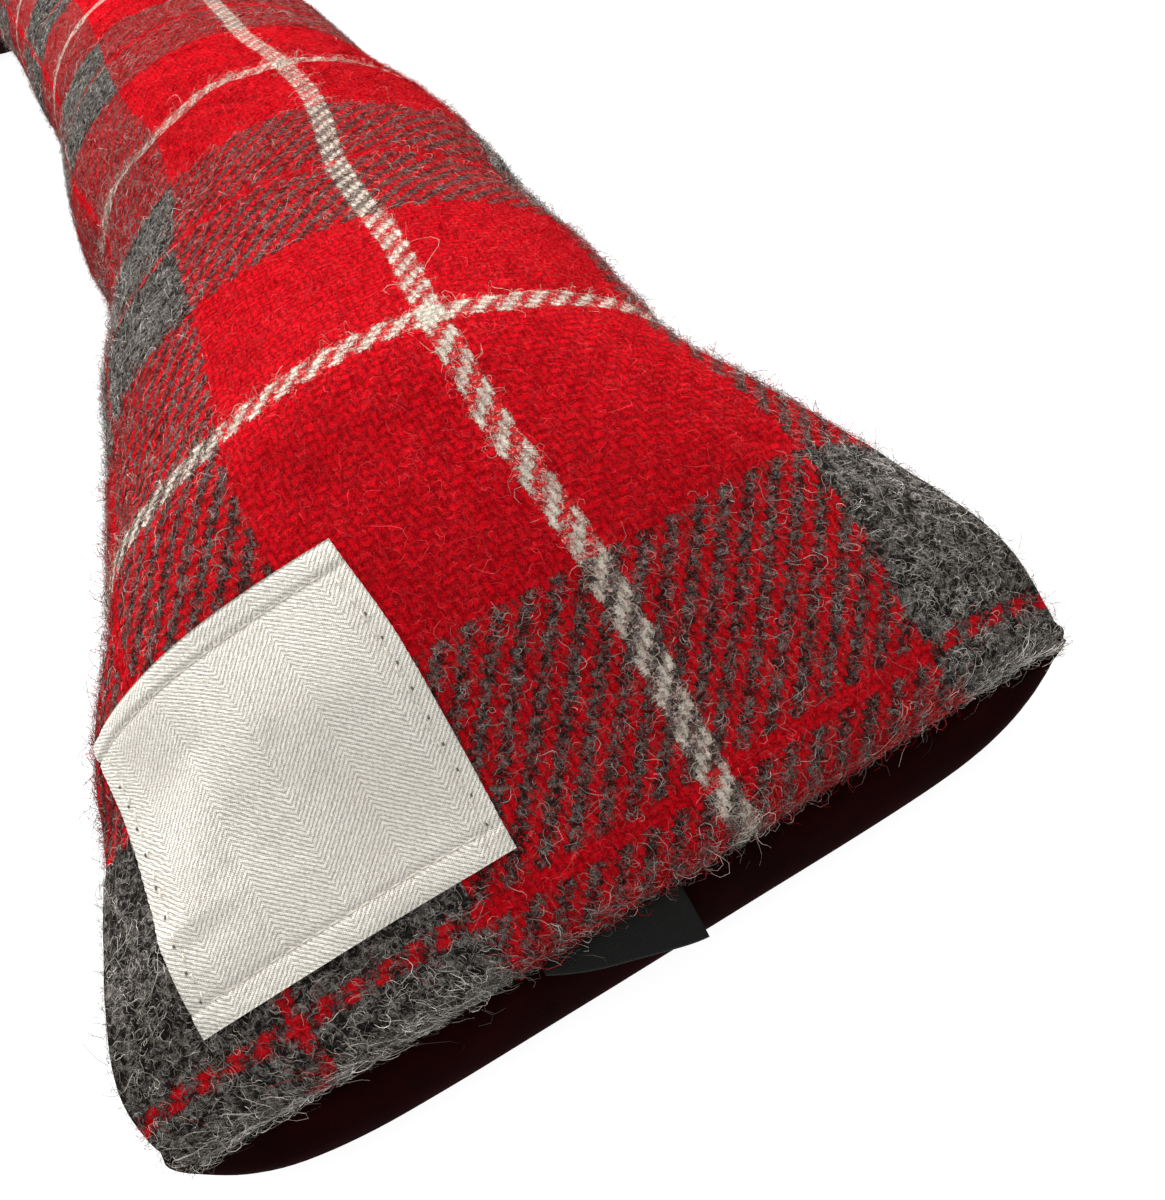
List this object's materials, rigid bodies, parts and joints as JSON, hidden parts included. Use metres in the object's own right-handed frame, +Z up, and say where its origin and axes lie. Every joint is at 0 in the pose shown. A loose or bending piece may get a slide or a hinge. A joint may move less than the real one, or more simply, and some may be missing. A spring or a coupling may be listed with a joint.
{
  "type": "draught excluder",
  "caption": "Long stuffed fabric tube that lies along the foot of a door, tweed above and velvet below, with flat sewn ends.",
  "frame": {"origin": "centre of the bounding box at floor level", "axes": "+X along the tube towards the end with the label and the ribbon tab, +Y to the side away from the label, +Z up"},
  "size_m": [0.8872, 0.162, 0.0816],
  "materials": {
    "tweed": "fuzzy wool twill in a red, grey and white check",
    "velvet": "very dark burgundy velvet with a short pile",
    "label_weave": "cream herringbone weave with a faint sheen",
    "black_ribbon": "black satin ribbon"
  },
  "bodies": {
    "root": {"tweed_top": "tweed", "velvet_base": "velvet", "label": "label_weave", "ribbon_tab": "black_ribbon"}
  },
  "joints": []
}
